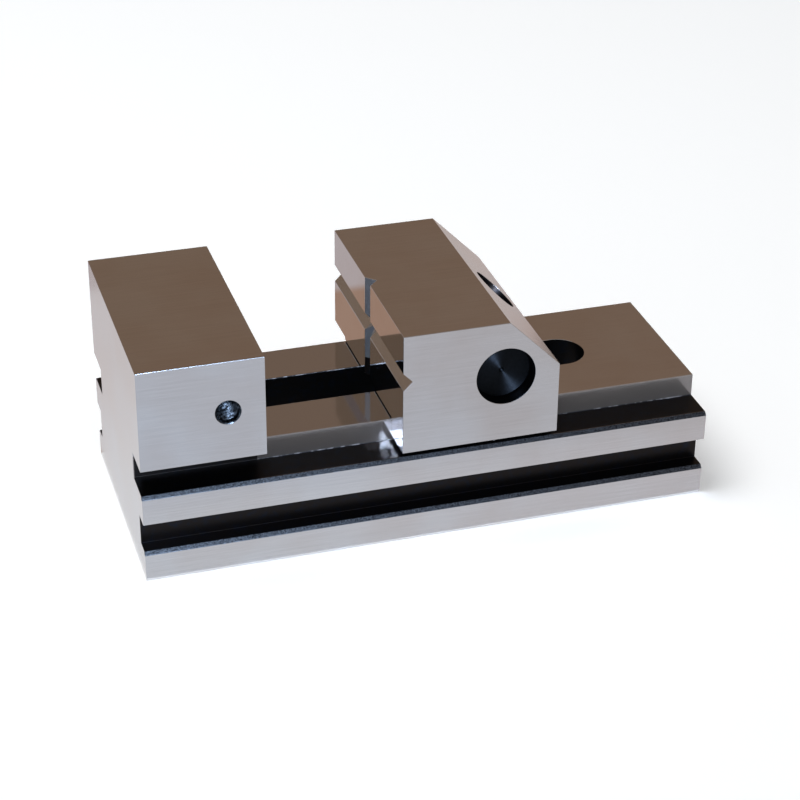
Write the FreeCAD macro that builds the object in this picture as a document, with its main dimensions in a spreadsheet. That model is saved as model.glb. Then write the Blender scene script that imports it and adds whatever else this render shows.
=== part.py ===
import FreeCAD, Part

import math
import os

import Sketcher

# Precision grinding vise, millimetres.
# X runs along the vise from the fixed jaw to the open end, Y across it, Z up.
# The origin is the middle of the ground base.
# The vise is drawn released, with the jaws open as far as in the photograph.

doc = FreeCAD.newDocument("precision_grinding_vise")

# Driving dimensions
SIZES = [
    ("width", 73.0, "width of base and both jaws"),
    ("length", 172.0, "length of the base"),
    ("rail_top", 35.0, "height of the ground guide rails"),
    ("jaw_height", 32.7, "height of the jaws above the rails"),
    ("lower_flange", 9.5, "height of the lower side flange"),
    ("clamp_groove", 9.3, "height of the side clamping groove"),
    ("clamp_groove_depth", 5.5, "depth of the side clamping groove"),
    ("ledge", 28.0, "height of the ledge beside the rails"),
    ("rail_inset", 11.5, "how far the rails stand in from the sides"),
    ("jaw_lift", 1.4, "jaw underside above the rail top, outside the rails"),
    ("flange_chamfer", 1.0, "chamfer on the top edges of the flanges"),
    ("fixed_jaw", 36.4, "thickness of the fixed jaw"),
    ("relief_depth", 1.0, "depth of the relief at the foot of the fixed jaw"),
    ("slot_width", 16.0, "width of the slot between the rails"),
    ("slot_start", 29.0, "left end of the slot, from the left end of the base"),
    ("slot_end", 145.8, "right end of the slot, from the left end of the base"),
    ("cavity_width", 44.0, "width of the hollow under the rails"),
    ("cavity_start", 19.0, "left end of the hollow, from the left end of the base"),
    ("cavity_end", 152.0, "right end of the hollow, from the left end of the base"),
    ("cavity_height", 22.0, "height of the hollow, up to the rail undersides"),
    ("cavity_corner", 6.0, "corner radius of the hollow"),
    ("notch_pitch", 10.0, "spacing of the notches under the rails"),
    ("notch_count", 8, "number of notches"),
    ("notches_to_close", 4, "notches from the drawn opening to the closed jaws"),
    ("notch_depth", 1.7, "depth of a notch"),
    ("notch_clearance", 0.05, "radius of a notch over that of the cross pin"),
    ("stop_hole_x", 25.6, "work stop hole, from the left end of the base"),
    ("stop_hole_height", 16.7, "work stop hole above the rails"),
    ("stop_hole_core", 6.8, "core diameter of the M8 work stop thread"),
    ("stop_hole_depth", 16.0, "depth of the work stop hole"),
    ("stop_hole_countersink", 7.6, "countersink of the work stop hole"),
    ("opening", 40.1, "jaw opening as drawn"),
    ("moving_jaw", 47.4, "length of the movable jaw"),
    ("slope_leg", 15.6, "both legs of the 45 degree slope behind the jaw"),
    ("vee_depth", 2.8, "depth of both 90 degree grooves in the gripping face"),
    ("vee_height", 18.1, "level groove above the rails"),
    ("foot_chamfer", 0.6, "chamfer at the foot of the gripping face, over the rails"),
    ("guide_clearance", 0.03, "running clearance of the jaw on its guides"),
    ("skirt_gap", 1.7, "gap between the front skirt and the ledge"),
    ("tongue_start", 24.5, "guide tongue, from the gripping face"),
    ("tongue_length", 14.0, "length of the guide tongue"),
    ("pivot_back", 31.0, "swivel barrel axis behind the gripping face"),
    ("pivot_height", 15.5, "swivel barrel axis above the rails"),
    ("barrel_diameter", 18.0, "bore for the swivel barrel"),
    ("barrel_clearance", 0.03, "radial running clearance of the barrel"),
    ("barrel_recess", 4.2, "how far the barrel ends lie inside the jaw sides"),
    ("barrel_chamfer", 0.5, "chamfer on the barrel ends"),
    ("centre_mark", 1.6, "diameter of the centre mark in the barrel ends"),
    ("head_well", 15.0, "diameter of the screw head well in the jaw"),
    ("barrel_seat", 14.4, "diameter of the washer seat in the barrel"),
    ("screw_passage", 12.0, "diameter of the screw passage below the barrel"),
    ("screw_diameter", 7.9, "diameter over the screw thread"),
    ("screw_clearance", 0.1, "total clearance of the screw in the cross pin"),
    ("screw_hole", 9.0, "diameter of the screw hole in the barrel"),
    ("head_diameter", 13.0, "diameter of the screw head"),
    ("head_height", 8.0, "height of the screw head"),
    ("head_chamfer", 0.6, "chamfer on the screw head"),
    ("tip_chamfer", 1.0, "chamfer on the screw tip"),
    ("key_size", 6.0, "hexagon socket across flats"),
    ("key_depth", 4.0, "depth of the hexagon socket"),
    ("washer_diameter", 13.6, "outside diameter of the thrust washer"),
    ("washer_bore", 8.4, "bore of the thrust washer"),
    ("washer_thickness", 1.6, "thickness of the thrust washer"),
    ("seat_gap", 0.02, "end play of the released screw head"),
    ("pin_diameter", 12.0, "diameter of the cross pin"),
    ("pin_length", 42.0, "length of the cross pin"),
    ("pin_chamfer", 0.8, "chamfer on the cross pin ends"),
    ("release_travel", 3.75, "travel of the cross pin along the screw, 3 turns"),
    ("ring_diameter", 11.0, "outside diameter of the retaining ring"),
    ("ring_thickness", 0.9, "thickness of the retaining ring"),
    ("ring_groove", 6.4, "diameter of the groove for the retaining ring"),
    ("ring_gap", 0.4, "gap between the cross pin and the retaining ring"),
    ("tip_land", 2.5, "screw beyond the retaining ring"),
    ("ring_opening", 4.0, "mouth of the retaining ring"),
    ("keeper_length", 18.0, "length of the keeper plate"),
    ("keeper_width", 38.0, "width of the keeper plate"),
    ("keeper_thickness", 4.0, "thickness of the keeper plate"),
    ("keeper_corner", 2.0, "corner radius of the keeper plate"),
    ("keeper_overhang", 2.0, "keeper plate ahead of the guide tongue"),
    ("keeper_spacing", 8.5, "spacing of the two keeper screws"),
    ("keeper_screw", 4.0, "diameter of the keeper screws"),
    ("keeper_tap", 4.06, "tapped holes for the keeper screws"),
    ("keeper_hole", 4.5, "screw holes in the keeper plate"),
    ("keeper_screw_length", 12.0, "length of the keeper screws under the head"),
    ("keeper_tap_spare", 2.0, "tapped depth beyond the screw ends"),
    ("keeper_head", 7.0, "head diameter of the keeper screws"),
    ("keeper_head_height", 4.0, "head height of the keeper screws"),
    ("keeper_key", 3.0, "hexagon sockets of the keeper screws, across flats"),
    ("keeper_key_depth", 2.0, "depth of those sockets"),
    ("spring_washer", 7.0, "outside diameter of the spring washers"),
    ("spring_washer_thickness", 0.9, "thickness of the spring washers"),
    ("spring_washer_bore", 4.2, "bore of the spring washers"),
    ("spring_washer_slit", 0.8, "slit in the spring washers"),
]

sheet = doc.addObject("Spreadsheet::Sheet", "Sizes")
for row, (alias, number, note) in enumerate(SIZES, start=1):
    sheet.set(f"A{row}", note)
    sheet.set(f"B{row}", str(number))
    sheet.setAlias(f"B{row}", alias)
doc.recompute()

# Places that follow from the driving dimensions
S = "Sizes."
LEFT = f"(-{S}length / 2)"
RIGHT = f"({S}length / 2)"
SIDE = f"({S}width / 2)"
RAIL_SIDE = f"({SIDE} - {S}rail_inset)"
JAW_TOP = f"({S}rail_top + {S}jaw_height)"
JAW_UNDERSIDE = f"({S}rail_top + {S}jaw_lift)"
GROOVE_TOP = f"({S}lower_flange + {S}clamp_groove)"
FIXED_FACE = f"({LEFT} + {S}fixed_jaw)"
MOVING_FACE = f"({FIXED_FACE} + {S}opening)"
MOVING_BACK = f"({MOVING_FACE} + {S}moving_jaw)"
MOVING_FOOT = f"({S}rail_top + {S}guide_clearance)"
SLOPE_TOP_X = f"({MOVING_BACK} - {S}slope_leg)"
SLOPE_FOOT_Z = f"({JAW_TOP} - {S}slope_leg)"
SKIRT_FOOT = f"({S}ledge + {S}skirt_gap)"
SLOT_RADIUS = f"({S}slot_width / 2)"
PIVOT_X = f"({MOVING_FACE} + {S}pivot_back)"
PIVOT_Z = f"({S}rail_top + {S}pivot_height)"
PIN_RADIUS = f"({S}pin_diameter / 2)"
NOTCH_RADIUS = f"({PIN_RADIUS} + {S}notch_clearance)"
NOTCH_Z = f"({S}cavity_height + {S}notch_depth - {PIN_RADIUS})"
ENGAGED_PIN_X = f"({PIVOT_X} - ({PIVOT_Z} - {NOTCH_Z}))"
FIRST_NOTCH_X = f"({ENGAGED_PIN_X} - {S}notches_to_close * {S}notch_pitch)"
RELEASED_PIN = f"(({PIVOT_Z} - {NOTCH_Z}) * sqrt(2) + {S}release_travel)"
UNDER_HEAD = f"({S}washer_thickness + {S}seat_gap)"
RING_TOP = f"(-{RELEASED_PIN} - {PIN_RADIUS} - {S}ring_gap)"
RING_FOOT = f"({RING_TOP} - {S}ring_thickness)"
SCREW_TIP = f"({RING_FOOT} - {S}tip_land)"
BARREL_RADIUS = f"({S}barrel_diameter / 2 - {S}barrel_clearance)"
TONGUE_X = f"({MOVING_FACE} + {S}tongue_start)"
TONGUE_RADIUS = f"({SLOT_RADIUS} - {S}guide_clearance)"
TONGUE_ROUND_X = f"({TONGUE_X} + {S}tongue_length - {TONGUE_RADIUS})"
TONGUE_FOOT = f"({S}cavity_height - {S}guide_clearance)"
KEEPER_X = f"({TONGUE_X} - {S}keeper_overhang)"
KEEPER_FOOT = f"({TONGUE_FOOT} - {S}keeper_thickness)"
KEEPER_SCREW_X = f"({TONGUE_X} + {S}tongue_length / 2)"
KEEPER_HEAD_TOP = f"({KEEPER_FOOT} - {S}spring_washer_thickness)"
KEEPER_TIP = f"({KEEPER_HEAD_TOP} + {S}keeper_screw_length)"

SLOPE_ANGLE = 45.0
DRILL_POINT = 118.0
COUNTERSINK = 90.0
ACROSS = FreeCAD.Vector(0, 1, 0)
SCREW_TILT = FreeCAD.Rotation(ACROSS, SLOPE_ANGLE)


def value(expression):
    """The number that an expression on the sheet gives now."""
    return float(sheet.evalExpression(expression))


def new_body(name):
    body = doc.addObject("PartDesign::Body", name)
    body.Label = name
    return body


def origin_feature(body, role):
    return [item for item in body.Origin.OriginFeatures if item.Role == role][0]


def new_sketch(body, name, role, height="0"):
    """A sketch on one of the body's own planes, lifted along the plane's normal."""
    sketch = body.newObject("Sketcher::SketchObject", name)
    sketch.AttachmentSupport = [(origin_feature(body, role), "")]
    sketch.MapMode = "FlatFace"
    sketch.setExpression("AttachmentOffset.Base.z", height)
    return sketch


def tilted_sketch(body, name):
    """A sketch at the barrel axis, square to the clamping screw."""
    sketch = new_sketch(body, name, "XY_Plane", PIVOT_Z)
    sketch.AttachmentOffset = FreeCAD.Placement(FreeCAD.Vector(), SCREW_TILT)
    sketch.setExpression("AttachmentOffset.Base.x", PIVOT_X)
    return sketch


def pin_point(sketch, geometry, point, x, y):
    """Fix a point of the sketch at x and y, both bound to the sheet."""
    for kind, axis, expression in (("DistanceX", -2, x), ("DistanceY", -1, y)):
        if expression == "0":
            sketch.addConstraint(Sketcher.Constraint("PointOnObject", geometry, point, axis))
        else:
            number = sketch.addConstraint(
                Sketcher.Constraint(kind, -1, 1, geometry, point, value(expression)))
            sketch.setExpression(f"Constraints[{number}]", expression)


def outline(sketch, corners):
    """A closed polygon through the given corners."""
    spots = [FreeCAD.Vector(value(x), value(y), 0) for x, y in corners]
    first = sketch.GeometryCount
    count = len(corners)
    for index in range(count):
        sketch.addGeometry(Part.LineSegment(spots[index], spots[(index + 1) % count]))
    for index in range(count):
        following = first + (index + 1) % count
        sketch.addConstraint(Sketcher.Constraint("Coincident", first + index, 2, following, 1))
    for index, (x, y) in enumerate(corners):
        pin_point(sketch, first + index, 1, x, y)


def rectangle(sketch, left, right, bottom, top):
    outline(sketch, [(left, bottom), (right, bottom), (right, top), (left, top)])


def circle(sketch, x, y, radius):
    centre = FreeCAD.Vector(value(x), value(y), 0)
    index = sketch.addGeometry(Part.Circle(centre, FreeCAD.Vector(0, 0, 1), value(radius)))
    number = sketch.addConstraint(Sketcher.Constraint("Radius", index, value(radius)))
    sketch.setExpression(f"Constraints[{number}]", radius)
    pin_point(sketch, index, 3, x, y)


def rounded_rectangle(sketch, left, right, half_width, radius):
    """A rectangle that is even about the X axis, with rounded corners."""
    x1, x2, y2, r = value(left), value(right), value(half_width), value(radius)
    y1 = -y2
    first = sketch.GeometryCount
    sides = [
        ((x1 + r, y1), (x2 - r, y1)),
        ((x2, y1 + r), (x2, y2 - r)),
        ((x2 - r, y2), (x1 + r, y2)),
        ((x1, y2 - r), (x1, y1 + r)),
    ]
    for start, end in sides:
        sketch.addGeometry(Part.LineSegment(FreeCAD.Vector(*start), FreeCAD.Vector(*end)))
    centres = [(x2 - r, y1 + r), (x2 - r, y2 - r), (x1 + r, y2 - r), (x1 + r, y1 + r)]
    for quarter, (x, y) in enumerate(centres):
        arc_circle = Part.Circle(FreeCAD.Vector(x, y, 0), FreeCAD.Vector(0, 0, 1), r)
        start = (quarter - 1) * math.pi / 2
        sketch.addGeometry(Part.ArcOfCircle(arc_circle, start, start + math.pi / 2))
    for quarter in range(4):
        side, arc, following = first + quarter, first + 4 + quarter, first + (quarter + 1) % 4
        sketch.addConstraint(Sketcher.Constraint("Tangent", side, 2, arc, 1))
        sketch.addConstraint(Sketcher.Constraint("Tangent", arc, 2, following, 1))
    for side in (0, 2):
        sketch.addConstraint(Sketcher.Constraint("Horizontal", first + side))
        sketch.addConstraint(Sketcher.Constraint("Vertical", first + side + 1))
    for quarter in range(1, 4):
        sketch.addConstraint(Sketcher.Constraint("Equal", first + 4, first + 4 + quarter))
    bindings = [
        (Sketcher.Constraint("Radius", first + 4, r), radius),
        (Sketcher.Constraint("DistanceX", -1, 1, first + 3, 1, x1), left),
        (Sketcher.Constraint("DistanceX", -1, 1, first + 1, 1, x2), right),
        (Sketcher.Constraint("DistanceY", -1, 1, first, 1, y1), f"-({half_width})"),
        (Sketcher.Constraint("DistanceY", -1, 1, first + 2, 1, y2), half_width),
    ]
    for constraint, expression in bindings:
        number = sketch.addConstraint(constraint)
        sketch.setExpression(f"Constraints[{number}]", expression)


def hexagon(sketch, across_flats):
    """A hexagon about the sketch's centre, with two flats square to Y."""
    half_flat = f"({across_flats} / 2)"
    corner = f"({across_flats} / sqrt(3))"
    half_corner = f"({corner} / 2)"
    outline(sketch, [
        (corner, "0"), (half_corner, half_flat), (f"-{half_corner}", half_flat),
        (f"-{corner}", "0"), (f"-{half_corner}", f"-{half_flat}"), (half_corner, f"-{half_flat}")])


def extrude(kind, body, sketch, length, side="One side", reverse=False):
    feature = body.newObject(f"PartDesign::{kind}", f"{sketch.Name}_{kind.lower()}")
    feature.Profile = sketch
    feature.SideType = side
    feature.Reversed = reverse
    feature.setExpression("Length", length)
    doc.recompute()
    return feature


def pad(body, sketch, length, side="One side", reverse=False):
    return extrude("Pad", body, sketch, length, side, reverse)


def pocket(body, sketch, length, side="One side", reverse=False):
    before = body.Shape.Volume
    feature = extrude("Pocket", body, sketch, length, side, reverse)
    if not body.Shape.Volume < before:
        raise ValueError(f"{feature.Name} cuts nothing")
    return feature


def revolve(body, sketch, axis_role="Z_Axis"):
    feature = body.newObject("PartDesign::Revolution", f"{sketch.Name}_revolution")
    feature.Profile = sketch
    feature.ReferenceAxis = (origin_feature(body, axis_role), [""])
    feature.Angle = 360
    doc.recompute()
    return feature


def place_on_screw_axis(body):
    """Tilt a body that is drawn upright so that its Z axis is the screw's axis."""
    body.Placement = FreeCAD.Placement(FreeCAD.Vector(), SCREW_TILT)
    body.setExpression("Placement.Base.x", PIVOT_X)
    body.setExpression("Placement.Base.z", PIVOT_Z)


# Vise body
# Base and fixed jaw are one block of hardened steel. Its cross-section has a clamping
# groove in each side and, above a ledge, the guide rails, which stand in from the sides.
vise_body = new_body("vise_body")
section = new_sketch(vise_body, "block_section", "YZ_Plane")
half_section = [
    (SIDE, "0"),
    (SIDE, f"{S}lower_flange - {S}flange_chamfer"),
    (f"{SIDE} - {S}flange_chamfer", f"{S}lower_flange"),
    (f"{SIDE} - {S}clamp_groove_depth", f"{S}lower_flange"),
    (f"{SIDE} - {S}clamp_groove_depth", GROOVE_TOP),
    (SIDE, GROOVE_TOP),
    (SIDE, f"{S}ledge - {S}flange_chamfer"),
    (f"{SIDE} - {S}flange_chamfer", f"{S}ledge"),
    (RAIL_SIDE, f"{S}ledge"),
    (RAIL_SIDE, JAW_UNDERSIDE),
    (SIDE, JAW_UNDERSIDE),
    (SIDE, JAW_TOP),
]
mirrored = [(f"-({y})", z) for y, z in reversed(half_section)]
outline(section, half_section + mirrored)
pad(vise_body, section, f"{S}length", side="Symmetric")

# Everything above the rails is ground away behind the fixed jaw.
jaw_space = new_sketch(vise_body, "jaw_space", "XZ_Plane")
rectangle(jaw_space, FIXED_FACE, RIGHT, f"{S}rail_top", JAW_TOP)
pocket(vise_body, jaw_space, f"{S}width", side="Symmetric")

# A relief at the foot of the fixed jaw lets a workpiece sit in the corner.
relief = new_sketch(vise_body, "jaw_relief", "XZ_Plane")
rectangle(relief, f"{FIXED_FACE} - {S}relief_depth", FIXED_FACE, f"{S}rail_top", JAW_UNDERSIDE)
pocket(vise_body, relief, f"{S}width", side="Symmetric")

# The slot between the rails reaches under the fixed jaw, so that the screw can follow
# the jaw until it is closed.
slot = new_sketch(vise_body, "rail_slot", "XY_Plane", f"{S}rail_top")
rectangle(slot, f"{LEFT} + {S}slot_start + {SLOT_RADIUS}", f"{LEFT} + {S}slot_end - {SLOT_RADIUS}",
          f"-{SLOT_RADIUS}", SLOT_RADIUS)
pocket(vise_body, slot, f"{S}rail_top - {S}cavity_height")
slot_ends = new_sketch(vise_body, "rail_slot_ends", "XY_Plane", f"{S}rail_top")
circle(slot_ends, f"{LEFT} + {S}slot_start + {SLOT_RADIUS}", "0", SLOT_RADIUS)
circle(slot_ends, f"{LEFT} + {S}slot_end - {SLOT_RADIUS}", "0", SLOT_RADIUS)
pocket(vise_body, slot_ends, f"{S}rail_top - {S}cavity_height")

# The hollow under the rails holds the cross pin and is open at the bottom.
cavity = new_sketch(vise_body, "rail_cavity", "XY_Plane")
rounded_rectangle(cavity, f"{LEFT} + {S}cavity_start", f"{LEFT} + {S}cavity_end",
                  f"{S}cavity_width / 2", f"{S}cavity_corner")
pocket(vise_body, cavity, f"{S}cavity_height", reverse=True)

# Notches under both rails take the cross pin. They decide where the jaw can be clamped,
# so their row is aligned with the pin in the drawn position. They are shallow enough
# for the pin to enter them along the screw.
notch = new_sketch(vise_body, "rail_notch", "XZ_Plane")
circle(notch, FIRST_NOTCH_X, NOTCH_Z, NOTCH_RADIUS)
first_notch = pocket(vise_body, notch, f"{S}cavity_width", side="Symmetric")
notch_row = vise_body.newObject("PartDesign::LinearPattern", "notch_row")
notch_row.Originals = [first_notch]
notch_row.Direction = (origin_feature(vise_body, "X_Axis"), [""])
notch_row.setExpression("Length", f"({S}notch_count - 1) * {S}notch_pitch")
notch_row.setExpression("Occurrences", f"{S}notch_count")
vise_body.Tip = notch_row
doc.recompute()

# Threaded hole for a work stop in the front side of the fixed jaw
stop_hole_sketch = new_sketch(vise_body, "stop_hole_centre", "XZ_Plane", SIDE)
circle(stop_hole_sketch, f"{LEFT} + {S}stop_hole_x", f"{S}rail_top + {S}stop_hole_height",
       f"{S}stop_hole_core / 2")
stop_hole = vise_body.newObject("PartDesign::Hole", "stop_hole")
stop_hole.Profile = stop_hole_sketch
doc.recompute()
stop_hole.DepthType = "Dimension"
stop_hole.DrillPoint = "Angled"
stop_hole.DrillPointAngle = DRILL_POINT
stop_hole.HoleCutType = "Countersink"
stop_hole.HoleCutCustomValues = True
stop_hole.HoleCutCountersinkAngle = COUNTERSINK
stop_hole.setExpression("Diameter", f"{S}stop_hole_core")
stop_hole.setExpression("Depth", f"{S}stop_hole_depth")
stop_hole.setExpression("HoleCutDiameter", f"{S}stop_hole_countersink")
doc.recompute()

# Movable jaw
# A block with a 45 degree slope behind it. It runs on the rail tops, between the skirt
# outside the front rail and the tongue in the slot, so one rail alone guides it.
movable_jaw = new_body("movable_jaw")
side_view = new_sketch(movable_jaw, "jaw_side_view", "XZ_Plane")
outline(side_view, [
    (MOVING_FACE, MOVING_FOOT), (MOVING_BACK, MOVING_FOOT), (MOVING_BACK, SLOPE_FOOT_Z),
    (SLOPE_TOP_X, JAW_TOP), (MOVING_FACE, JAW_TOP)])
pad(movable_jaw, side_view, f"{S}width", side="Symmetric")

skirt = new_sketch(movable_jaw, "front_skirt", "YZ_Plane", MOVING_FACE)
rectangle(skirt, f"-{SIDE}", f"-({RAIL_SIDE} + {S}guide_clearance)", SKIRT_FOOT,
          f"{S}rail_top + {S}jaw_lift")
pad(movable_jaw, skirt, f"{S}moving_jaw")

# Behind the rear rail the jaw is lifted to the level of the fixed jaw's underside.
rear_step = new_sketch(movable_jaw, "rear_step", "YZ_Plane", MOVING_FACE)
rectangle(rear_step, RAIL_SIDE, SIDE, MOVING_FOOT, JAW_UNDERSIDE)
pocket(movable_jaw, rear_step, f"{S}moving_jaw", reverse=True)

tongue = new_sketch(movable_jaw, "guide_tongue", "XY_Plane", TONGUE_FOOT)
rectangle(tongue, TONGUE_X, TONGUE_ROUND_X, f"-{TONGUE_RADIUS}", TONGUE_RADIUS)
pad(movable_jaw, tongue, f"{JAW_UNDERSIDE} - {TONGUE_FOOT}")
tongue_end = new_sketch(movable_jaw, "guide_tongue_end", "XY_Plane", TONGUE_FOOT)
circle(tongue_end, TONGUE_ROUND_X, "0", TONGUE_RADIUS)
pad(movable_jaw, tongue_end, f"{JAW_UNDERSIDE} - {TONGUE_FOOT}")

# The foot of the gripping face is chamfered over the rails, so that chips clear it.
foot = new_sketch(movable_jaw, "foot_chamfer", "XZ_Plane")
outline(foot, [(MOVING_FACE, MOVING_FOOT), (f"{MOVING_FACE} + {S}foot_chamfer", MOVING_FOOT),
               (MOVING_FACE, f"{MOVING_FOOT} + {S}foot_chamfer")])
pocket(movable_jaw, foot, f"2 * ({RAIL_SIDE} + {S}guide_clearance)", side="Symmetric")

# Level and upright 90 degree grooves hold round work in the gripping face.
VEE_Z = f"({S}rail_top + {S}vee_height)"
VEE_X = f"({MOVING_FACE} + {S}vee_depth)"
level_vee = new_sketch(movable_jaw, "level_vee", "XZ_Plane")
outline(level_vee, [(MOVING_FACE, f"{VEE_Z} - {S}vee_depth"), (VEE_X, VEE_Z),
                    (MOVING_FACE, f"{VEE_Z} + {S}vee_depth")])
pocket(movable_jaw, level_vee, f"{S}width", side="Symmetric")
upright_vee = new_sketch(movable_jaw, "upright_vee", "XY_Plane", JAW_TOP)
outline(upright_vee, [(MOVING_FACE, f"-{S}vee_depth"), (VEE_X, "0"),
                      (MOVING_FACE, f"{S}vee_depth")])
pocket(movable_jaw, upright_vee, f"{S}jaw_height")

# Cross bore for the swivel barrel, and the stepped way of the screw through it
bore = new_sketch(movable_jaw, "barrel_bore", "XZ_Plane")
circle(bore, PIVOT_X, PIVOT_Z, f"{S}barrel_diameter / 2")
pocket(movable_jaw, bore, f"{S}width", side="Symmetric")
well = tilted_sketch(movable_jaw, "screw_head_well")
circle(well, "0", "0", f"{S}head_well / 2")
pocket(movable_jaw, well, f"{S}moving_jaw", reverse=True)
passage = tilted_sketch(movable_jaw, "screw_way")
circle(passage, "0", "0", f"{S}screw_passage / 2")
pocket(movable_jaw, passage, f"{S}moving_jaw")

# Tapped holes for the keeper screws in the underside of the tongue
taps = new_sketch(movable_jaw, "keeper_taps", "XY_Plane", TONGUE_FOOT)
for side in ("-", ""):
    circle(taps, KEEPER_SCREW_X, f"{side}{S}keeper_spacing / 2", f"{S}keeper_tap / 2")
pocket(movable_jaw, taps, f"{KEEPER_TIP} - {TONGUE_FOOT} + {S}keeper_tap_spare", reverse=True)

# Swivel barrel
# It carries the screw head on a seat across its middle and turns in the jaw's bore, so
# that the screw finds its own angle. It is drawn upright and tilted with the screw.
swivel_barrel = new_body("swivel_barrel")
BARREL_END = f"({SIDE} - {S}barrel_recess)"
barrel_profile = new_sketch(swivel_barrel, "barrel_profile", "YZ_Plane")
outline(barrel_profile, [
    (f"-{BARREL_END}", "0"),
    (BARREL_END, "0"),
    (BARREL_END, f"{BARREL_RADIUS} - {S}barrel_chamfer"),
    (f"{BARREL_END} - {S}barrel_chamfer", BARREL_RADIUS),
    (f"-{BARREL_END} + {S}barrel_chamfer", BARREL_RADIUS),
    (f"-{BARREL_END}", f"{BARREL_RADIUS} - {S}barrel_chamfer")])
revolve(swivel_barrel, barrel_profile, "Y_Axis")
seat = new_sketch(swivel_barrel, "washer_seat", "XY_Plane")
circle(seat, "0", "0", f"{S}barrel_seat / 2")
pocket(swivel_barrel, seat, f"{S}barrel_diameter", reverse=True)
screw_bore = new_sketch(swivel_barrel, "barrel_screw_hole", "XY_Plane")
circle(screw_bore, "0", "0", f"{S}screw_hole / 2")
pocket(swivel_barrel, screw_bore, f"{S}barrel_diameter")
for label, reverse in (("front", False), ("back", True)):
    height = BARREL_END if label == "front" else f"-{BARREL_END}"
    mark = new_sketch(swivel_barrel, f"centre_mark_{label}", "XZ_Plane", height)
    circle(mark, "0", "0", f"{S}centre_mark / 2")
    pocket(swivel_barrel, mark, f"{S}centre_mark / 2", reverse=reverse)
place_on_screw_axis(swivel_barrel)

# Thrust washer between the barrel's seat and the screw head
thrust_washer = new_body("thrust_washer")
washer_section = new_sketch(thrust_washer, "washer_section", "XZ_Plane")
rectangle(washer_section, f"{S}washer_bore / 2", f"{S}washer_diameter / 2", "0",
          f"{S}washer_thickness")
revolve(thrust_washer, washer_section)
place_on_screw_axis(thrust_washer)

# Clamping screw
# A socket head cap screw, with a groove near its tip for the retaining ring.
clamping_screw = new_body("clamping_screw")
HEAD_TOP = f"({UNDER_HEAD} + {S}head_height)"
HEAD_RADIUS = f"({S}head_diameter / 2)"
SHANK_RADIUS = f"({S}screw_diameter / 2)"
RING_RADIUS = f"({S}ring_groove / 2)"
screw_profile = new_sketch(clamping_screw, "screw_profile", "XZ_Plane")
outline(screw_profile, [
    ("0", HEAD_TOP),
    (f"{HEAD_RADIUS} - {S}head_chamfer", HEAD_TOP),
    (HEAD_RADIUS, f"{HEAD_TOP} - {S}head_chamfer"),
    (HEAD_RADIUS, UNDER_HEAD),
    (SHANK_RADIUS, UNDER_HEAD),
    (SHANK_RADIUS, RING_TOP),
    (RING_RADIUS, RING_TOP),
    (RING_RADIUS, RING_FOOT),
    (SHANK_RADIUS, RING_FOOT),
    (SHANK_RADIUS, f"{SCREW_TIP} + {S}tip_chamfer"),
    (f"{SHANK_RADIUS} - {S}tip_chamfer", SCREW_TIP),
    ("0", SCREW_TIP)])
revolve(clamping_screw, screw_profile)
socket = new_sketch(clamping_screw, "key_socket", "XY_Plane", HEAD_TOP)
hexagon(socket, f"{S}key_size")
pocket(clamping_screw, socket, f"{S}key_depth")
place_on_screw_axis(clamping_screw)

# Cross pin
# It lies across both rails, is pulled up into a notch by the screw and drops clear of
# the notches when the screw is let off.
cross_pin = new_body("cross_pin")
PIN_END = f"({S}pin_length / 2)"
pin_profile = new_sketch(cross_pin, "pin_profile", "YZ_Plane")
outline(pin_profile, [
    (f"-{PIN_END}", f"-{RELEASED_PIN}"),
    (PIN_END, f"-{RELEASED_PIN}"),
    (PIN_END, f"{PIN_RADIUS} - {S}pin_chamfer - {RELEASED_PIN}"),
    (f"{PIN_END} - {S}pin_chamfer", f"{PIN_RADIUS} - {RELEASED_PIN}"),
    (f"-{PIN_END} + {S}pin_chamfer", f"{PIN_RADIUS} - {RELEASED_PIN}"),
    (f"-{PIN_END}", f"{PIN_RADIUS} - {S}pin_chamfer - {RELEASED_PIN}")])
pin_turned = cross_pin.newObject("PartDesign::Revolution", "pin_turned")
pin_turned.Profile = pin_profile
pin_turned.ReferenceAxis = (pin_profile, ["Edge1"])
pin_turned.Angle = 360
doc.recompute()
pin_thread = new_sketch(cross_pin, "pin_thread", "XY_Plane", f"-{RELEASED_PIN}")
circle(pin_thread, "0", "0", f"({S}screw_diameter + {S}screw_clearance) / 2")
pocket(cross_pin, pin_thread, f"{S}pin_diameter * 2", side="Symmetric")
place_on_screw_axis(cross_pin)

# Retaining ring that keeps the cross pin on the screw
retaining_ring = new_body("retaining_ring")
ring_plan = new_sketch(retaining_ring, "ring_plan", "XY_Plane", RING_FOOT)
circle(ring_plan, "0", "0", f"{S}ring_diameter / 2")
circle(ring_plan, "0", "0", RING_RADIUS)
pad(retaining_ring, ring_plan, f"{S}ring_thickness")
ring_mouth = new_sketch(retaining_ring, "ring_mouth", "XY_Plane", RING_TOP)
rectangle(ring_mouth, "0", f"{S}ring_diameter", f"-{S}ring_opening / 2", f"{S}ring_opening / 2")
pocket(retaining_ring, ring_mouth, f"{S}ring_thickness")
place_on_screw_axis(retaining_ring)

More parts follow.
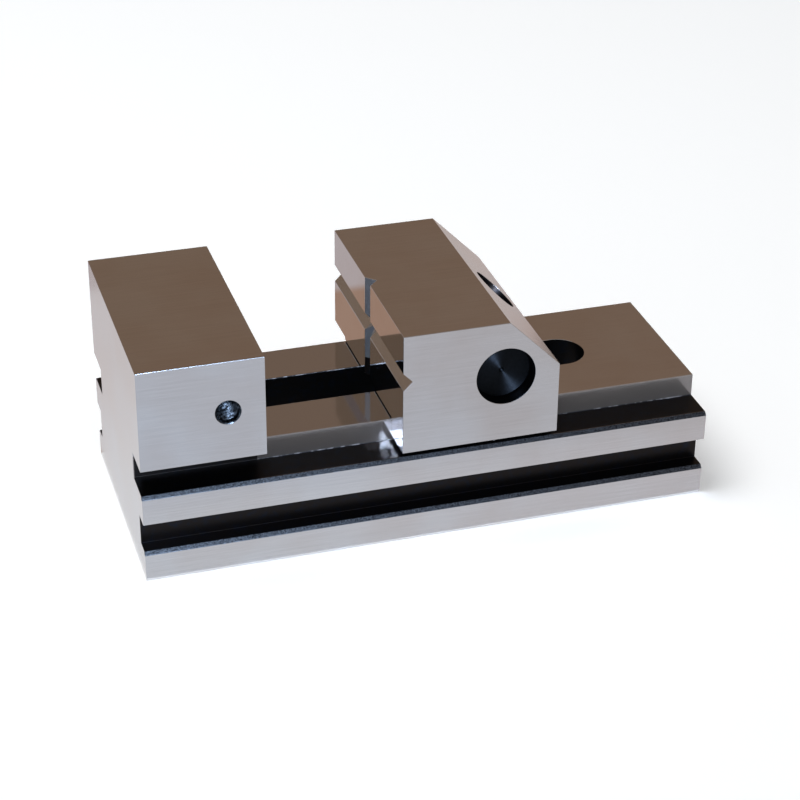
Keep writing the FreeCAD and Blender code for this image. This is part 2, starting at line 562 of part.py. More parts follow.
# Keeper plate
# It is screwed under the tongue and runs under the rails, so that the jaw stays on
# them when the vise stands on its end or side.
keeper_plate = new_body("keeper_plate")
keeper_plan = new_sketch(keeper_plate, "keeper_plan", "XY_Plane", KEEPER_FOOT)
rounded_rectangle(keeper_plan, KEEPER_X, f"{KEEPER_X} + {S}keeper_length",
                  f"{S}keeper_width / 2", f"{S}keeper_corner")
pad(keeper_plate, keeper_plan, f"{S}keeper_thickness")
keeper_holes = new_sketch(keeper_plate, "keeper_holes", "XY_Plane", TONGUE_FOOT)
for side in ("-", ""):
    circle(keeper_holes, KEEPER_SCREW_X, f"{side}{S}keeper_spacing / 2", f"{S}keeper_hole / 2")
pocket(keeper_plate, keeper_holes, f"{S}keeper_thickness")


def keeper_fastener(name, make):
    """Two like fasteners, side by side under the keeper plate, in one node."""
    single = new_body(f"{name}_single")
    make(single)
    pair = doc.addObject("Part::Compound", name)
    pair.Label = name
    copies = []
    for label, side in (("front", "-"), ("back", "")):
        link = doc.addObject("App::Link", f"{name}_{label}")
        link.LinkedObject = single
        link.setExpression("Placement.Base.x", KEEPER_SCREW_X)
        link.setExpression("Placement.Base.y", f"{side}{S}keeper_spacing / 2")
        copies.append(link)
    pair.Links = copies
    doc.recompute()
    return pair


def keeper_screw_single(body):
    radius = f"({S}keeper_screw / 2)"
    head_radius = f"({S}keeper_head / 2)"
    head_foot = f"({KEEPER_HEAD_TOP} - {S}keeper_head_height)"
    profile = new_sketch(body, "keeper_screw_profile", "XZ_Plane")
    outline(profile, [
        ("0", head_foot), (head_radius, head_foot), (head_radius, KEEPER_HEAD_TOP),
        (radius, KEEPER_HEAD_TOP), (radius, KEEPER_TIP), ("0", KEEPER_TIP)])
    revolve(body, profile)
    key = new_sketch(body, "keeper_screw_key", "XY_Plane", head_foot)
    hexagon(key, f"{S}keeper_key")
    pocket(body, key, f"{S}keeper_key_depth", reverse=True)


def spring_washer_single(body):
    plan = new_sketch(body, "spring_washer_plan", "XY_Plane", KEEPER_HEAD_TOP)
    circle(plan, "0", "0", f"{S}spring_washer / 2")
    circle(plan, "0", "0", f"{S}spring_washer_bore / 2")
    pad(body, plan, f"{S}spring_washer_thickness")
    slit = new_sketch(body, "spring_washer_cut", "XY_Plane", KEEPER_FOOT)
    rectangle(slit, "0", f"{S}spring_washer", f"-{S}spring_washer_slit / 2",
              f"{S}spring_washer_slit / 2")
    pocket(body, slit, f"{S}spring_washer_thickness")


keeper_screws = keeper_fastener("keeper_screws", keeper_screw_single)
keeper_spring_washers = keeper_fastener("keeper_spring_washers", spring_washer_single)

SUB_PARTS = [
    vise_body, movable_jaw, swivel_barrel, thrust_washer, clamping_screw, cross_pin,
    retaining_ring, keeper_plate, keeper_screws, keeper_spring_washers]

doc.recompute()
failed = [item.Name for item in doc.Objects
          if "Invalid" in item.State or "Error" in item.State]
if failed:
    raise ValueError(f"features failed: {failed}")
for part in SUB_PARTS:
    if part.Shape.isNull() or not part.Shape.isValid():
        raise ValueError(f"{part.Label} has no valid shape")

os.makedirs("parts", exist_ok=True)
for part in SUB_PARTS:
    part.Shape.exportStep(f"parts/{part.Label}.step")
    box = part.Shape.BoundBox
    print(f"{part.Label}: {len(part.Shape.Solids)} solids, {part.Shape.Volume:.0f} mm3, "
          f"x {box.XMin:.2f} to {box.XMax:.2f}, y {box.YMin:.2f} to {box.YMax:.2f}, "
          f"z {box.ZMin:.2f} to {box.ZMax:.2f}")
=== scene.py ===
# %% [markdown]
# # Precision grinding vise
# A low vise of hardened tool steel. Its base and fixed jaw are one ground block, and a
# second block, the movable jaw, slides on two rails. Nearly all of it is bare metal, so
# this lesson is about two things: finishes that differ only in how they were cut, and a
# set that gives bare metal something to reflect.

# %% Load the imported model
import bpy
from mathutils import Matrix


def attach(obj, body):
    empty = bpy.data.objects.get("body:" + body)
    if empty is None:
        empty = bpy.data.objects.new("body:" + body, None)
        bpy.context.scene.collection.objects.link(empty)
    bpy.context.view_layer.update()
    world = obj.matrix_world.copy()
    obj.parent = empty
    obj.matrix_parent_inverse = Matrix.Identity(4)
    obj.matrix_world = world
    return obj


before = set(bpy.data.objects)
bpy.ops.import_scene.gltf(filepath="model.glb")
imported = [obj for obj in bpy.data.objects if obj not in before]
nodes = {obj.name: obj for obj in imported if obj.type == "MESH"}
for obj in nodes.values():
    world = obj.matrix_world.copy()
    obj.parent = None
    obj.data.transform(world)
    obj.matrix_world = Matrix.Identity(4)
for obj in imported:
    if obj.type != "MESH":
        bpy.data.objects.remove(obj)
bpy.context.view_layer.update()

import math

import bpy
from mathutils import Matrix, Vector

MM = 0.001
print("nodes:", ", ".join(sorted(nodes)))

# %% [markdown]
# ## Camera
# The camera stands to the left of the vise and looks down at about 30 degrees with a
# long lens. Its place was worked out from the corners of the block, so the edges of the
# picture run nearly as they do in the photograph. The Standard view shows each colour
# as it is written.

# %% Place the camera
EYE = Vector((-171.1, -554.8, 358.0)) * MM
TURN = math.radians(17.22)
TILT = math.radians(29.76)
ROLL = math.radians(0.52)
LENS = 98.8
SENSOR = 36.0

ahead = Vector((math.sin(TURN) * math.cos(TILT), math.cos(TURN) * math.cos(TILT),
                -math.sin(TILT)))
level_right = ahead.cross(Vector((0, 0, 1))).normalized()
level_up = level_right.cross(ahead)
right = level_right * math.cos(ROLL) + level_up * math.sin(ROLL)
up = level_up * math.cos(ROLL) - level_right * math.sin(ROLL)

camera = bpy.data.objects.new("camera", bpy.data.cameras.new("camera"))
bpy.context.scene.collection.objects.link(camera)
camera.data.lens = LENS
camera.data.sensor_width = SENSOR
camera.data.clip_start = 0.02
camera.data.clip_end = 20.0
camera.matrix_world = Matrix((
    (right.x, up.x, -ahead.x, EYE.x),
    (right.y, up.y, -ahead.y, EYE.y),
    (right.z, up.z, -ahead.z, EYE.z),
    (0, 0, 0, 1)))
bpy.context.scene.camera = camera
bpy.context.scene.view_settings.view_transform = "Standard"
print("camera", round(EYE.length, 3), "m from the middle of the base")

# %% [markdown]
# ## Helpers for materials
# Every finish is built from nodes. One helper turns an sRGB colour to the linear values
# that the nodes work with. Another adds a node with its settings and links, and gives
# back one of its outputs, so that a line of code reads like a line of the graph.

# %% Colour and node helpers
def linear(hex_colour):
    """The linear value of an sRGB colour such as #A0A0A0."""
    channels = [int(hex_colour[place:place + 2], 16) / 255 for place in (1, 3, 5)]
    return (*[c / 12.92 if c <= 0.04045 else ((c + 0.055) / 1.055) ** 2.4
              for c in channels], 1.0)


def add(tree, kind, inputs=None, out=0, **settings):
    """Adds a node. An input is a number, a colour or another node's output."""
    made = tree.nodes.new(kind)
    for name, value in settings.items():
        setattr(made, name, value)
    for socket, value in (inputs or {}).items():
        if isinstance(value, bpy.types.NodeSocket):
            tree.links.new(value, made.inputs[socket])
        else:
            made.inputs[socket].default_value = value
    return made.outputs[out] if made.outputs else None


def new_material(name):
    """An empty material and its node tree."""
    material = bpy.data.materials.new(name)
    material.use_nodes = True
    material.node_tree.nodes.clear()
    return material, material.node_tree


def per_mm(size_mm):
    """The texture scale at which one cell of a pattern is so many millimetres."""
    return 1 / (size_mm * MM)


print("a grey of #808080 is", round(linear("#808080")[0], 3), "in linear values")

# %% [markdown]
# ## Where each finish lies
# One steel block carries several finishes. The ground faces are bright, the milled
# grooves kept the black skin of the hardening furnace, and the broken edges show the
# coarse marks of a cutter. Painting that on would need an image, and a material for each
# face would cut up the block's mesh. The finish follows from the place on the block, so
# a mask made of boxes, in millimetres of the vise's own frame, picks it.

# %% Box masks
def place_sockets(tree):
    """The place on the piece, and what the boxes measure: X, the distance from the
    middle plane, height, the distance along the screw, which leans at 45 degrees, and
    Y, where front and back differ."""
    place = add(tree, "ShaderNodeTexCoord", out="Object")
    axes = add(tree, "ShaderNodeSeparateXYZ", {0: place}).node.outputs
    off_middle = add(tree, "ShaderNodeMath", {0: axes[1]}, operation="ABSOLUTE")
    lean = math.sqrt(0.5)
    along_screw = add(tree, "ShaderNodeVectorMath", {0: place, 1: (lean, 0, lean)},
                      "Value", operation="DOT_PRODUCT")
    return place, (axes[0], off_middle, axes[2], along_screw, axes[1])


def box_mask(tree, axes, box):
    """1 inside a box of (low, high) spans in millimetres. None is endless."""
    mask = None
    for socket, span in zip(axes, box):
        if span is None:
            continue
        middle, half = (span[0] + span[1]) / 2 * MM, (span[1] - span[0]) / 2 * MM
        inside = add(tree, "ShaderNodeMath", {0: socket, 1: middle, 2: half},
                     operation="COMPARE")
        if mask is not None:
            inside = add(tree, "ShaderNodeMath", {0: mask, 1: inside},
                         operation="MULTIPLY")
        mask = inside
    return mask


def any_box(tree, axes, boxes):
    """1 inside any of the boxes."""
    mask = None
    for box in boxes:
        inside = box_mask(tree, axes, box)
        if mask is not None:
            inside = add(tree, "ShaderNodeMath", {0: mask, 1: inside},
                         operation="MAXIMUM")
        mask = inside
    return mask


print("a box is measured in millimetres of the vise's own frame")

# %% [markdown]
# ## Ground steel
# The blocks are tool steel. A surface grinder leaves fine parallel lines along the vise,
# which make a face reflect as a soft, slightly streaked mirror. Oil from hands and
# cloths dries in wide patches and tints the steel faintly warm. Steel keeps the default
# IOR, and its colour is that of its reflection.

# %% Ground steel
# Real grinding lines are some hundredths of a millimetre apart, too fine to show, so
# they are drawn coarser.
GRIND_LINE = 0.35
GRIND_STRETCH = 0.02
OIL_PATCH = 22.0


def grinding_lines(tree, place):
    """Fine lines along X."""
    along = add(tree, "ShaderNodeVectorMath", {0: place, 1: (GRIND_STRETCH, 1, 1)},
                operation="MULTIPLY")
    return add(tree, "ShaderNodeTexNoise", {
        "Vector": along, "Scale": per_mm(GRIND_LINE), "Detail": 2.0})


def oil_patches(tree, place):
    """Wide, soft patches, which vary both tint and gloss."""
    return add(tree, "ShaderNodeTexNoise", {
        "Vector": place, "Scale": per_mm(OIL_PATCH), "Detail": 3.0})


def ground_colour(tree, lines, patches):
    """Grey streaks under a faintly warm film."""
    streaks = add(tree, "ShaderNodeMix", {
        0: lines, 6: linear("#CDCDCD"), 7: linear("#DADADA")}, 2, data_type="RGBA")
    film = add(tree, "ShaderNodeMapRange", {0: patches, 1: 0.35, 2: 0.65})
    warm = add(tree, "ShaderNodeMix", {
        0: film, 6: linear("#FAF6F3"), 7: linear("#FFFFFF")}, 2, data_type="RGBA")
    return add(tree, "ShaderNodeMix", {0: 1.0, 6: streaks, 7: warm}, 2,
               data_type="RGBA", blend_type="MULTIPLY")


print("grinding lines", GRIND_LINE, "mm apart, oil patches", OIL_PATCH, "mm wide")

# %% [markdown]
# ## Skin, cutter marks and torn steel
# Some places aren't ground. Black skin is thin iron oxide, nearly black, with a hint of
# blue where it varies. Where hands and cloths rub an edge, bright steel comes through it
# in short dashes. The same dashes along the foot of each rail are a painted glint, and
# the same black at the foot of the movable jaw is painted shade. A cutter leaves coarse
# grain, which breaks light into specks, and a tap tears the steel of its hole. Each is a
# noise that fades between two colours.

# %% Skin, cutter marks and torn steel
SKIN_PATCH = 2.2
# The grain of cutter and tap is drawn coarser than the real one, so that it shows.
CUTTER_GRAIN = 0.32
TAP_GRAIN = 0.9


def skin_patches(tree, place):
    """Where the skin is thin, from 0 to 1."""
    patches = add(tree, "ShaderNodeTexNoise", {
        "Vector": place, "Scale": per_mm(SKIN_PATCH), "Detail": 4.0})
    return add(tree, "ShaderNodeMapRange", {0: patches, 1: 0.48, 2: 0.8})


def black_skin_and_shade(tree, place):
    """Nearly black, and bluish where it is thin. It also serves as painted shade."""
    return add(tree, "ShaderNodeMix", {
        0: skin_patches(tree, place), 6: linear("#292625"), 7: linear("#252932")}, 2,
        data_type="RGBA")


def worn_edge_and_glint(tree, place):
    """Skin that is rubbed to bright steel in dashes. It also draws a painted glint."""
    return add(tree, "ShaderNodeMix", {
        0: skin_patches(tree, place), 6: linear("#4A4D52"), 7: linear("#F2F5FA")}, 2,
        data_type="RGBA")


def cutter_marks(tree, place):
    """Coarse dark grain with light specks."""
    grain = add(tree, "ShaderNodeTexNoise", {
        "Vector": place, "Scale": per_mm(CUTTER_GRAIN), "Detail": 1.0})
    specks = add(tree, "ShaderNodeMapRange", {0: grain, 1: 0.33, 2: 0.67})
    return add(tree, "ShaderNodeMix", {
        0: specks, 6: linear("#212427"), 7: linear("#585E65")}, 2, data_type="RGBA")


def torn_steel(tree, place):
    """Dark steel with bluish grey tears."""
    grain = add(tree, "ShaderNodeTexNoise", {
        "Vector": place, "Scale": per_mm(TAP_GRAIN), "Detail": 3.0})
    tears = add(tree, "ShaderNodeMapRange", {0: grain, 1: 0.4, 2: 0.66})
    return add(tree, "ShaderNodeMix", {
        0: tears, 6: linear("#15171A"), 7: linear("#5E666E")}, 2, data_type="RGBA")


print("cells in mm: skin", SKIN_PATCH, "cutter", CUTTER_GRAIN, "tap", TAP_GRAIN)

# %% [markdown]
# ## Table of finishes
# Each finish is a colour and a roughness. Nearly a mirror is 0.07, and matt steel is
# about 0.3. The comments say how each was made and what that gives the eye.

# %% Table of finishes
# None is the colour of ground steel. Two roughness values are those between which the
# oil patches vary.
FINISHES = {
    # Ground sides: soft mirrors.
    "ground": (None, (0.2, 0.28)),
    # Level faces, ground finest: they mirror the room.
    "fine": (None, (0.07, 0.09)),
    # Lapped gripping faces: sharp, even mirrors.
    "lapped": (None, 0.07),
    # V-groove, cut by the edge of a wheel: satin.
    "vee": (None, 0.26),
    # Upper slope of the level groove: dull and brownish.
    "roof": ("#87807C", 0.2),
    # Upright groove and stoned edges: cool and matt.
    "rough": ("#C0C7CF", 0.32),
    # Rails before the movable jaw, polished by it: a little darker, and clear.
    "rail": ("#C8C8CA", 0.09),
    # Milled rail sides: darker, with a slight sheen.
    "milled": ("#A19D9C", 0.13),
    # Grooves, slot and bores, left as hardened: black and satin. At the foot of the movable
    # jaw the same black is painted shade.
    "skin_and_painted_shade": (black_skin_and_shade, 0.32),
    # Rubbed edges: beads of light on a dark line. Along the rail feet it is a painted glint.
    "worn_and_painted_glint": (worn_edge_and_glint, 0.34),
    # Chamfers: sparkling dark grain.
    "cut": (cutter_marks, 0.36),
    # Tapped hole: dark, with torn light flanks.
    "tapped": (torn_steel, 0.38),
}
print(len(FINISHES), "finishes:", ", ".join(FINISHES))

# %% [markdown]
# ## Tool steel
# The material starts as ground steel. Each finish then covers its boxes, the later ones
# over the earlier. A bump a few thousandths of a millimetre high lets the grinding lines
# scatter light. Two films come last: oxide, which isn't metal and dulls it, and clear
# oil, which adds a sharp gloss of its own.

# %% Tool steel material
LINE_HEIGHT = 0.004
LINE_STRENGTH = 0.08
METAL_UNDER_OXIDE = 0.45
OIL_ROUGHNESS = 0.05


def finish_sockets(tree, finish, place, bright, patches):
    """The colour and the roughness of a finish."""
    colour, roughness = FINISHES[finish]
    if colour is None:
        colour = bright
    elif callable(colour):
        colour = colour(tree, place)
    else:
        colour = linear(colour)
    if isinstance(roughness, tuple):
        roughness = add(tree, "ShaderNodeMapRange", {
            0: patches, 3: roughness[0], 4: roughness[1]})
    return colour, roughness


def tool_steel(name, places, oxide=(), oil=()):
    """Ground steel, with other finishes in the boxes of places. A film of oxide hides
    part of the metal in its boxes, and a film of oil covers it in its own."""
    material, tree = new_material(name)
    place, axes = place_sockets(tree)
    lines = grinding_lines(tree, place)
    patches = oil_patches(tree, place)
    bright = ground_colour(tree, lines, patches)
    colour, roughness = finish_sockets(tree, "ground", place, bright, patches)
    for finish, boxes in places:
        mask = any_box(tree, axes, boxes)
        own_colour, own_roughness = finish_sockets(tree, finish, place, bright, patches)
        colour = add(tree, "ShaderNodeMix", {0: mask, 6: colour, 7: own_colour}, 2,
                     data_type="RGBA")
        roughness = add(tree, "ShaderNodeMapRange", {
            0: mask, 3: roughness, 4: own_roughness})
    bump = add(tree, "ShaderNodeBump", {
        "Strength": LINE_STRENGTH, "Distance": LINE_HEIGHT * MM, "Height": lines})
    inputs = {"Base Color": colour, "Metallic": 1.0, "Roughness": roughness,
              "Normal": bump}
    if oxide:
        inputs["Metallic"] = add(tree, "ShaderNodeMapRange", {
            0: any_box(tree, axes, oxide), 3: 1.0, 4: METAL_UNDER_OXIDE})
    if oil:
        inputs["Coat Weight"] = any_box(tree, axes, oil)
        inputs["Coat Roughness"] = OIL_ROUGHNESS
    shader = add(tree, "ShaderNodeBsdfPrincipled", inputs)
    add(tree, "ShaderNodeOutputMaterial", {"Surface": shader})
    print(name, "has", len(tree.nodes), "nodes")
    return material


def dress(node, material):
    """Gives a node's object its material."""
    for slot in nodes[node].material_slots:
        slot.material = material


print("grinding lines are", LINE_HEIGHT, "mm high")

# %% [markdown]
# ## Finishes of the vise body
# The sizes are those of the block. A box reaches a little past the face that it covers,
# because that face lies exactly at its size, and ends a little short of the next one.

# %% Dress the vise body
END, FIXED_FACE, GRIP = 86.0, -49.6, -9.5
SIDE, RAIL_SIDE = 36.5, 25.0
TOP, RAIL_TOP, LEDGE, FLANGE_TOP = 67.7, 35.0, 28.0, 9.5
HOLE_X, HOLE_Z, HOLE_REACH = -60.4, 51.7, 4.0
CHAMFER = 1.05
SKIM, NEAR = 0.1, 0.3

at_top = (TOP - SKIM, TOP + SKIM)
at_rail_top = (RAIL_TOP - 0.2, RAIL_TOP + SKIM)
at_rail_side = (RAIL_SIDE - SKIM, RAIL_SIDE + SKIM)
at_chamfer = (SIDE - CHAMFER, SIDE + SKIM)

rails = ((FIXED_FACE, END), (0.0, RAIL_SIDE), at_rail_top)
fixed_jaw_top = ((-END, FIXED_FACE), (0.0, SIDE), at_top)
rubbed_rails = ((FIXED_FACE, GRIP), (0.0, RAIL_SIDE), at_rail_top)
gripping_face = ((FIXED_FACE - SKIM, FIXED_FACE + SKIM), (0.0, SIDE - SKIM),
                 (36.6, TOP - SKIM))
rail_walls = (None, at_rail_side, (LEDGE - SKIM, RAIL_TOP - 0.2))
clamping_grooves = (None, (30.8, SIDE - NEAR), (9.4, 18.9))
ledges = (None, (RAIL_SIDE + 0.25, SIDE - 1.1), (LEDGE - SKIM, LEDGE + NEAR))
under_fixed_jaw = ((-END + NEAR, FIXED_FACE - NEAR), (RAIL_SIDE - SKIM, SIDE - NEAR),
                   (LEDGE, 36.5))
slot = ((-57.2, 59.9), (0.0, 8.1), (21.0, RAIL_TOP - 0.15))
hollow = ((-67.2, 66.2), (0.0, 22.1), (NEAR, 24.2))
stop_hole = ((HOLE_X - HOLE_REACH, HOLE_X + HOLE_REACH), (18.0, SIDE - 0.02),
             (HOLE_Z - HOLE_REACH, HOLE_Z + HOLE_REACH))
slot_rims = ((FIXED_FACE, 10.0), (7.85, 8.2), (RAIL_TOP - NEAR, RAIL_TOP + SKIM))
# A thin bright line along the foot of each rail is a painted glint, not wear.
rail_feet_painted_glint = ((FIXED_FACE, END), (RAIL_SIDE - SKIM, RAIL_SIDE + NEAR),
             (LEDGE - SKIM, LEDGE + 0.15))
stoned_edges = ((-END, FIXED_FACE), (SIDE - 0.2, SIDE + SKIM), (TOP - 0.25, TOP + SKIM))
flange_chamfers = (None, at_chamfer, (FLANGE_TOP - CHAMFER, FLANGE_TOP + 0.05))
ledge_chamfers = (None, at_chamfer, (LEDGE - CHAMFER, LEDGE + 0.05))
oil_in_corner = ((-18.0, -6.0), None, (LEDGE - SKIM, LEDGE + SKIM), None,
                 (-RAIL_SIDE - 4.5, -RAIL_SIDE))

dress("vise_body", tool_steel("hardened_tool_steel_ground_body", [
    ("fine", [rails, fixed_jaw_top]),
    ("rail", [rubbed_rails]),
    ("lapped", [gripping_face]),
    ("milled", [rail_walls]),
    ("skin_and_painted_shade", [clamping_grooves, ledges, under_fixed_jaw, slot, hollow]),
    ("tapped", [stop_hole]),
    ("worn_and_painted_glint", [slot_rims, rail_feet_painted_glint]),
    ("rough", [stoned_edges]),
    ("cut", [flange_chamfers, ledge_chamfers]),
], oxide=[rail_walls], oil=[oil_in_corner]))

# %% [markdown]
# ## Finishes of the movable jaw
# Its gripping face is lapped and has two V-grooves. The well of the screw head leans at
# 45 degrees, so its box ends at a distance along the screw, just under the slope.

# %% Dress the movable jaw
VEE, VEE_Z = 2.8, 53.1
BORE_X, BORE_Z, BORE_REACH = 21.5, 50.5, 9.1
SLOPE = 90.0 * math.sqrt(0.5)

in_vee = (GRIP + 0.05, GRIP + VEE + SKIM)
jaw_top = ((GRIP + SKIM, 22.5), (0.0, SIDE), at_top)
moving_face = ((GRIP - SKIM, GRIP + VEE + SKIM), (0.0, SIDE - 0.2), (29.0, TOP - SKIM))
level_vee = (in_vee, (0.0, SIDE - 0.2), (VEE_Z - VEE, VEE_Z + VEE))
upright_vee = (in_vee, (0.0, VEE - 0.05), (LEDGE, TOP - SKIM))
vee_roof = (in_vee, (VEE, SIDE - 0.2), (VEE_Z + 0.05, VEE_Z + VEE))
# The foot chamfer is painted black: painted shade in the crease where the jaw meets the
# rails.
foot_chamfer_painted_shade = ((GRIP - SKIM, GRIP + 0.65), (0.0, RAIL_SIDE), (34.9, 35.55))
# The foot of the upright groove is painted black: painted shade where the groove meets the
# slot.
vee_foot_painted_shade = (in_vee, (0.0, VEE - 0.05), (34.9, 41.0))
cross_bore = ((BORE_X - BORE_REACH, BORE_X + BORE_REACH), (0.0, SIDE - NEAR),
              (BORE_Z - BORE_REACH, BORE_Z + BORE_REACH), (20.0, SLOPE - NEAR))
head_well = ((12.0, 37.8), (0.0, 7.6), (41.0, TOP - SKIM), (20.0, SLOPE - SKIM))
guide_tongue = ((-9.2, 37.6), (0.0, 8.2), (21.9, 34.9))

dress("movable_jaw", tool_steel("hardened_tool_steel_ground_jaw", [
    ("fine", [jaw_top]),
    ("lapped", [moving_face]),
    ("vee", [level_vee]),
    ("rough", [upright_vee]),
    ("roof", [vee_roof]),
    ("skin_and_painted_shade", [foot_chamfer_painted_shade, vee_foot_painted_shade, cross_bore, head_well, guide_tongue]),
]))

# %% [markdown]
# ## Turned and blackened pieces
# The swivel barrel was faced on a lathe. The tool leaves fine rings round the centre
# mark, and rings reflect a lamp as a bow tie across the centre. A bump could draw the
# rings one by one, but they are too fine to show. Anisotropy, with a tangent that runs
# round the axis, gives just the bow tie. The same graph serves the other small pieces.

# %% Small piece materials
WEAR_PATCH = 1.2
ACROSS_RINGS = 0.25


def turned_steel(name, colours, rough, axis, spread):
    """Steel with fine rings about an axis. Rings spread a highlight across them."""
    material, tree = new_material(name)
    place = add(tree, "ShaderNodeTexCoord", out="Object")
    wear = add(tree, "ShaderNodeTexNoise", {
        "Vector": place, "Scale": per_mm(WEAR_PATCH), "Detail": 4.0})
    tint = add(tree, "ShaderNodeMix", {
        0: wear, 6: linear(colours[0]), 7: linear(colours[1])}, 2, data_type="RGBA")
    roughness = add(tree, "ShaderNodeMapRange", {0: wear, 3: rough[0], 4: rough[1]})
    tangent = add(tree, "ShaderNodeTangent", direction_type="RADIAL", axis=axis)
    shader = add(tree, "ShaderNodeBsdfPrincipled", {
        "Base Color": tint, "Metallic": 1.0, "Roughness": roughness,
        "Anisotropic": spread, "Anisotropic Rotation": ACROSS_RINGS, "Tangent": tangent})
    add(tree, "ShaderNodeOutputMaterial", {"Surface": shader})
    return material


# Faced and blackened: a dark disc with a bow tie of light.
barrel_steel = turned_steel("blackened_steel_faced", ("#15181B", "#24282D"), (0.48, 0.54),
                            "Y", 0.88)
# Turned and hardened: light grey, with a highlight that spreads round the pin.
pin_steel = turned_steel("hardened_steel_turned", ("#9A9B9E", "#A8A9AC"), (0.25, 0.35),
                         "Y", 0.4)
# Rolled threads under black oxide: nearly black and satin.
screw_steel = turned_steel("black_oxide_steel_rolled", ("#26282C", "#33363B"),
                           (0.35, 0.45), "Z", 0.2)
# Hardened and tumbled: an even, matt grey.
washer_steel = turned_steel("hardened_steel_tumbled", ("#8C8C8C", "#A0A0A0"),
                            (0.35, 0.5), "Z", 0.2)
# Oiled spring steel: dark brownish grey, with some shine.
spring_steel = turned_steel("spring_steel_oiled", ("#4A4744", "#5A5652"), (0.3, 0.4),
                            "Z", 0.2)
# Milled mild steel: light grey and satin.
keeper_steel = turned_steel("mild_steel_milled", ("#8E8E90", "#A2A2A4"), (0.3, 0.42),
                            "Z", 0.2)
for node, material in (
        ("swivel_barrel", barrel_steel), ("cross_pin", pin_steel),
        ("clamping_screw", screw_steel), ("keeper_screws", screw_steel),
        ("thrust_washer", washer_steel), ("retaining_ring", spring_steel),
        ("keeper_spring_washers", spring_steel), ("keeper_plate", keeper_steel)):
    dress(node, material)
    print(node, "is", material.name)

# %% [markdown]
# ## Thread of the work stop hole
# A screw for a work stop goes into the side of the fixed jaw. The solid has a plain bore
# of the core size, so the M8 thread is a ridge that winds down the bore: one narrow
# section, swept along a helix with a pitch of 1.25 mm. It is real geometry, because a
# bump can't show a thread's edge against the light.

# %% Wind the thread
PITCH = 1.25
CORE = 3.4
RIDGE = 0.42
SUNK = 0.05
FOOT, CREST = 0.5, 0.08
FIRST_TURN, LAST_TURN = 1.4, 14.6
STEPS = 32


def hole_thread(name, first_y, last_y):
    """A helical ridge about the hole's axis, which runs along Y."""
    section = ((CORE + SUNK, -FOOT), (CORE - RIDGE, -CREST), (CORE - RIDGE, CREST),
               (CORE + SUNK, FOOT))
    sides = len(section)
    count = int((last_y - first_y) / PITCH * STEPS)
    points, faces = [], []
    for step in range(count + 1):
        angle = 2 * math.pi * step / STEPS
        for radius, offset in section:
            points.append(((HOLE_X + radius * math.cos(angle)) * MM,
                           (first_y + PITCH * step / STEPS + offset) * MM,
                           (HOLE_Z + radius * math.sin(angle)) * MM))
        if step:
            old, new = sides * (step - 1), sides * step
            for side in range(sides):
                following = (side + 1) % sides
                faces.append((old + side, new + side, new + following, old + following))
    faces.append(tuple(range(sides)))
    faces.append(tuple(sides * count + side for side in reversed(range(sides))))
    mesh = bpy.data.meshes.new(name)
    mesh.from_pydata(points, [], faces)
    ridge = bpy.data.objects.new(name, mesh)
    bpy.context.scene.collection.objects.link(ridge)
    return ridge


# Tapped tool steel: the same torn, dark steel as the wall of the hole.
thread_steel, tree = new_material("hardened_tool_steel_tapped")
flanks = torn_steel(tree, add(tree, "ShaderNodeTexCoord", out="Object"))
shader = add(tree, "ShaderNodeBsdfPrincipled", {
    "Base Color": flanks, "Metallic": 1.0, "Roughness": FINISHES["tapped"][1]})
add(tree, "ShaderNodeOutputMaterial", {"Surface": shader})

thread = hole_thread("stop_hole_thread", -SIDE + FIRST_TURN, -SIDE + LAST_TURN)
thread.data.materials.append(thread_steel)
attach(thread, "base")
print("thread ridge has", len(thread.data.polygons), "faces")

# %% [markdown]
# ## Broken edges
# After grinding, each edge is stoned so that it doesn't cut the hand. The CAD edges are
# sharp, so modifiers weld the mesh, join its flat triangles and round each sharp edge by
# about an eighth of a millimetre. The mesh itself isn't changed.

# %% Stone the edges
STONED = 0.12
WELD = 0.001
FLAT = math.radians(0.3)
SHARP = math.radians(32)
FLAT_WEIGHT = 80


def stone_edges(node):
    """Rounds the sharp edges of a node."""
    piece = nodes[node]
    weld = piece.modifiers.new("weld", "WELD")
    weld.merge_threshold = WELD * MM
    join = piece.modifiers.new("join_flats", "DECIMATE")
    join.decimate_type = "DISSOLVE"
    join.angle_limit = FLAT
    edge = piece.modifiers.new("stoned_edge", "BEVEL")
    edge.width = STONED * MM
    edge.segments = 2
    edge.limit_method = "ANGLE"
    edge.angle_limit = SHARP
    edge.use_clamp_overlap = True
    normals = piece.modifiers.new("even_normals", "WEIGHTED_NORMAL")
    normals.keep_sharp = True
    normals.weight = FLAT_WEIGHT


for node in ("vise_body", "movable_jaw"):
    stone_edges(node)
    print(node, "edges are rounded by", STONED, "mm")

# %% [markdown]
# ## Floor and sky
# The vise stands on matt white paper under a white sky. The camera sees both as white.
# The sky that lights the vise is dimmer, so that the steel keeps its tones. A box with
# walls would do the same, but its corners would show in the steel.

# %% Floor and sky
FLOOR_HALF = 4000
# The floor lies a hair under the base, because faces at one height flicker.
FLOOR_DROP = 0.05
FLOOR_GLOW = 0.25
SKY_LIGHT = 0.45


def flat_card(name, low, high, height):
    """A level rectangle, with corners and height in millimetres."""
    corners = [(low[0], low[1]), (high[0], low[1]), (high[0], high[1]), (low[0], high[1])]
    mesh = bpy.data.meshes.new(name)
    mesh.from_pydata([(x * MM, y * MM, height * MM) for x, y in corners], [], [(0, 1, 2, 3)])
    card = bpy.data.objects.new(name, mesh)
    bpy.context.scene.collection.objects.link(card)
    return card


